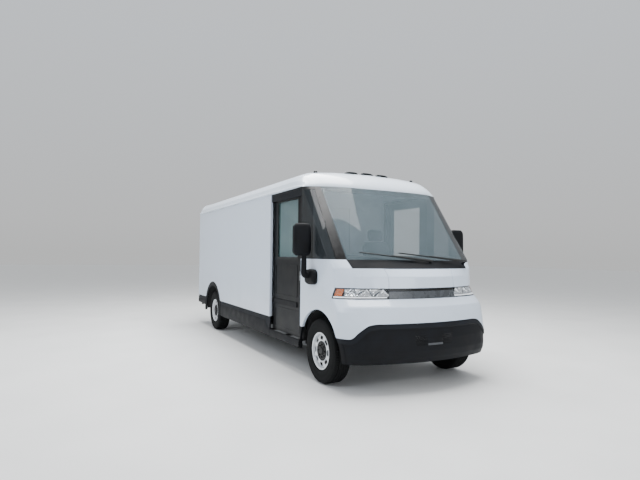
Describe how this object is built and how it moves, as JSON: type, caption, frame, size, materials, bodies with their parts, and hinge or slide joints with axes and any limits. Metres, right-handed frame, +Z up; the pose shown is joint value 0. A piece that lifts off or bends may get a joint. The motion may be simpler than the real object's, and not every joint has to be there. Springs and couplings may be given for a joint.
{
  "type": "mail delivery truck",
  "caption": "Walk-through electric delivery van with a raked one-piece windshield, tall white cargo body, sliding side doors, black lower cladding and swinging rear doors.",
  "frame": {"origin": "on the ground under the middle of the truck", "axes": "+X forward, +Y to the vehicle's left, +Z up"},
  "size_m": [6.78, 2.68, 2.7073],
  "materials": {
    "white_paint": "gloss",
    "roof_white": "gloss",
    "black_trim": "textured",
    "frame_black": "satin",
    "battery_grey": "cast",
    "floor_grey": "ribbed",
    "steel_dark": "machined",
    "motor_grey": "cast",
    "tinted_glass": "clear",
    "lamp_dark": "gloss",
    "lamp_chrome": "bright",
    "lamp_red": "gloss",
    "liner_black": "fibre",
    "panel_grey": "satin",
    "dash_grey": "grained",
    "seat_fabric": "woven",
    "door_grey": "satin",
    "wiper_black": "matt",
    "wheel_silver": "satin",
    "tyre_rubber": "matt",
    "pedal_steel": "satin",
    "latch_steel": "satin"
  },
  "bodies": {
    "truck": {"chassis_frame": "frame_black", "battery_pack": "battery_grey", "floor_panel": "floor_grey", "front_suspension": "steel_dark", "rear_axle": "steel_dark", "drive_unit": "motor_grey", "cargo_side_left": "white_paint", "cargo_side_right": "white_paint", "roof_panel": "roof_white", "rear_frame": "white_paint", "cab_frame": "black_trim", "roof_cap": "roof_white", "front_fenders": "white_paint", "front_fascia": "white_paint", "front_bumper": "black_trim", "cowl_panel": "black_trim", "windshield": "tinted_glass", "quarter_glasses": "tinted_glass", "light_bar": "lamp_dark", "headlamps": "lamp_chrome", "sills": "black_trim", "rear_bumper": "black_trim", "wheel_liners": "liner_black", "arch_trims": "black_trim", "marker_lamps": "lamp_dark", "tail_lamps": "lamp_red", "bulkhead": "panel_grey", "dashboard": "dash_grey", "seat_rails": "frame_black", "mirror_bases": "black_trim"},
    "door_left": {"door_left": "door_grey", "door_glass_left": "tinted_glass"},
    "door_right": {"door_right": "door_grey", "door_glass_right": "tinted_glass"},
    "rear_door_left": {"rear_door_left": "white_paint"},
    "rear_door_right": {"rear_door_right": "white_paint"},
    "rear_latch": {"rear_latch": "latch_steel"},
    "bulkhead_door": {"bulkhead_door": "panel_grey"},
    "hood": {"hood": "white_paint"},
    "wiper_left": {"wiper_left": "wiper_black"},
    "wiper_right": {"wiper_right": "wiper_black"},
    "mirror_left": {"mirror_head_left": "black_trim"},
    "mirror_right": {"mirror_head_right": "black_trim"},
    "steering_wheel": {"steering_wheel": "dash_grey"},
    "seat_base": {"seat_cushion": "seat_fabric"},
    "seat_back": {"seat_back": "seat_fabric"},
    "jump_seat": {"jump_seat": "seat_fabric"},
    "brake_pedal": {"brake_pedal": "pedal_steel"},
    "accelerator_pedal": {"accelerator_pedal": "pedal_steel"},
    "knuckle_left": {"knuckle_left": "steel_dark"},
    "knuckle_right": {"knuckle_right": "steel_dark"},
    "steering_rack": {"steering_rack": "steel_dark"},
    "front_left_wheel": {"tyre_front_left": "tyre_rubber", "wheel_front_left": "wheel_silver"},
    "front_right_wheel": {"tyre_front_right": "tyre_rubber", "wheel_front_right": "wheel_silver"},
    "rear_left_wheel": {"tyre_rear_left": "tyre_rubber", "wheel_rear_left": "wheel_silver"},
    "rear_right_wheel": {"tyre_rear_right": "tyre_rubber", "wheel_rear_right": "wheel_silver"}
  },
  "joints": [
    {"name": "door_left_slide", "type": "slide", "parent": "truck", "child": "door_left", "axis": [-1, 0, 0], "range_m": [0, 0.93]},
    {"name": "door_right_slide", "type": "slide", "parent": "truck", "child": "door_right", "axis": [-1, 0, 0], "range_m": [0, 0.93]},
    {"name": "rear_door_left_swing", "type": "hinge", "parent": "truck", "child": "rear_door_left", "pos_m": [-3.342, 0.805, 1.485], "axis": [0, 0, -1], "range_deg": [0, 170]},
    {"name": "rear_door_right_swing", "type": "hinge", "parent": "truck", "child": "rear_door_right", "pos_m": [-3.342, -0.805, 1.485], "axis": [0, 0, 1], "range_deg": [0, 170]},
    {"name": "rear_latch_turn", "type": "hinge", "parent": "rear_door_right", "child": "rear_latch", "pos_m": [-3.345, -0.11, 1.25], "axis": [1, 0, 0], "range_deg": [-90, 0]},
    {"name": "bulkhead_door_slide", "type": "slide", "parent": "truck", "child": "bulkhead_door", "axis": [0, 1, 0], "range_m": [0, 0.6]},
    {"name": "hood_lift", "type": "hinge", "parent": "truck", "child": "hood", "pos_m": [3.07, 0, 1.42], "axis": [0, -1, 0], "range_deg": [0, 50]},
    {"name": "wiper_right_sweep", "type": "hinge", "parent": "truck", "child": "wiper_right", "pos_m": [2.97519, 0.24, 1.45465], "axis": [-0.8046, 0, -0.5939], "range_deg": [0, 80]},
    {"name": "wiper_left_sweep", "type": "hinge", "parent": "truck", "child": "wiper_left", "pos_m": [2.97519, 0.8, 1.45465], "axis": [-0.8046, 0, -0.5939], "range_deg": [0, 80]},
    {"name": "mirror_left_fold", "type": "hinge", "parent": "truck", "child": "mirror_left", "pos_m": [2.38, 1.195, 1.717], "axis": [0, 0, 1], "range_deg": [-60, 75]},
    {"name": "mirror_right_fold", "type": "hinge", "parent": "truck", "child": "mirror_right", "pos_m": [2.38, -1.195, 1.717], "axis": [0, 0, 1], "range_deg": [-75, 60]},
    {"name": "steering_wheel_turn", "type": "hinge", "parent": "truck", "child": "steering_wheel", "pos_m": [2.36, 0.45, 1.33], "axis": [0.766, 0, -0.6428], "range_deg": [-500, 500]},
    {"name": "steer_left", "type": "hinge", "parent": "truck", "child": "knuckle_left", "pos_m": [2.51, 0.8395, 0.385], "axis": [0, 0, 1], "range_deg": [-33, 33]},
    {"name": "steer_right", "type": "hinge", "parent": "truck", "child": "knuckle_right", "pos_m": [2.51, -0.8395, 0.385], "axis": [0, 0, 1], "range_deg": [-33, 33]},
    {"name": "rack_slide", "type": "slide", "parent": "truck", "child": "steering_rack", "axis": [0, 1, 0], "range_m": [-0.09, 0.09]},
    {"name": "front_left_spin", "type": "hinge", "parent": "knuckle_left", "child": "front_left_wheel", "pos_m": [2.51, 0.9245, 0.385], "axis": [0, 1, 0], "continuous": true},
    {"name": "front_right_spin", "type": "hinge", "parent": "knuckle_right", "child": "front_right_wheel", "pos_m": [2.51, -0.9245, 0.385], "axis": [0, 1, 0], "continuous": true},
    {"name": "rear_left_spin", "type": "hinge", "parent": "truck", "child": "rear_left_wheel", "pos_m": [-2.15, 0.9245, 0.385], "axis": [0, 1, 0], "continuous": true},
    {"name": "rear_right_spin", "type": "hinge", "parent": "truck", "child": "rear_right_wheel", "pos_m": [-2.15, -0.9245, 0.385], "axis": [0, 1, 0], "continuous": true},
    {"name": "seat_slide", "type": "slide", "parent": "truck", "child": "seat_base", "axis": [1, 0, 0], "range_m": [-0.1, 0.1]},
    {"name": "seat_recline", "type": "hinge", "parent": "seat_base", "child": "seat_back", "pos_m": [1.575, 0.45, 1.11], "axis": [0, -1, 0], "range_deg": [-10, 25]},
    {"name": "jump_seat_fold", "type": "hinge", "parent": "truck", "child": "jump_seat", "pos_m": [0.978, -0.66, 1.04], "axis": [0, 1, 0], "range_deg": [0, 90]},
    {"name": "brake_pedal_press", "type": "hinge", "parent": "truck", "child": "brake_pedal", "pos_m": [2.63, 0.41, 0.93], "axis": [0, -1, 0], "range_deg": [0, 14], "stiffness_Nm_per_rad": 40},
    {"name": "accelerator_press", "type": "hinge", "parent": "truck", "child": "accelerator_pedal", "pos_m": [2.63, 0.31, 0.93], "axis": [0, -1, 0], "range_deg": [0, 12], "stiffness_Nm_per_rad": 20}
  ],
  "couplings": [
    {"joint": "steer_right", "follows": "steer_left", "ratio": 1},
    {"joint": "rack_slide", "follows": "steer_left", "m_per_rad": -0.15},
    {"joint": "steering_wheel_turn", "follows": "steer_left", "ratio": -15},
    {"joint": "wiper_left_sweep", "follows": "wiper_right_sweep", "ratio": 1}
  ]
}
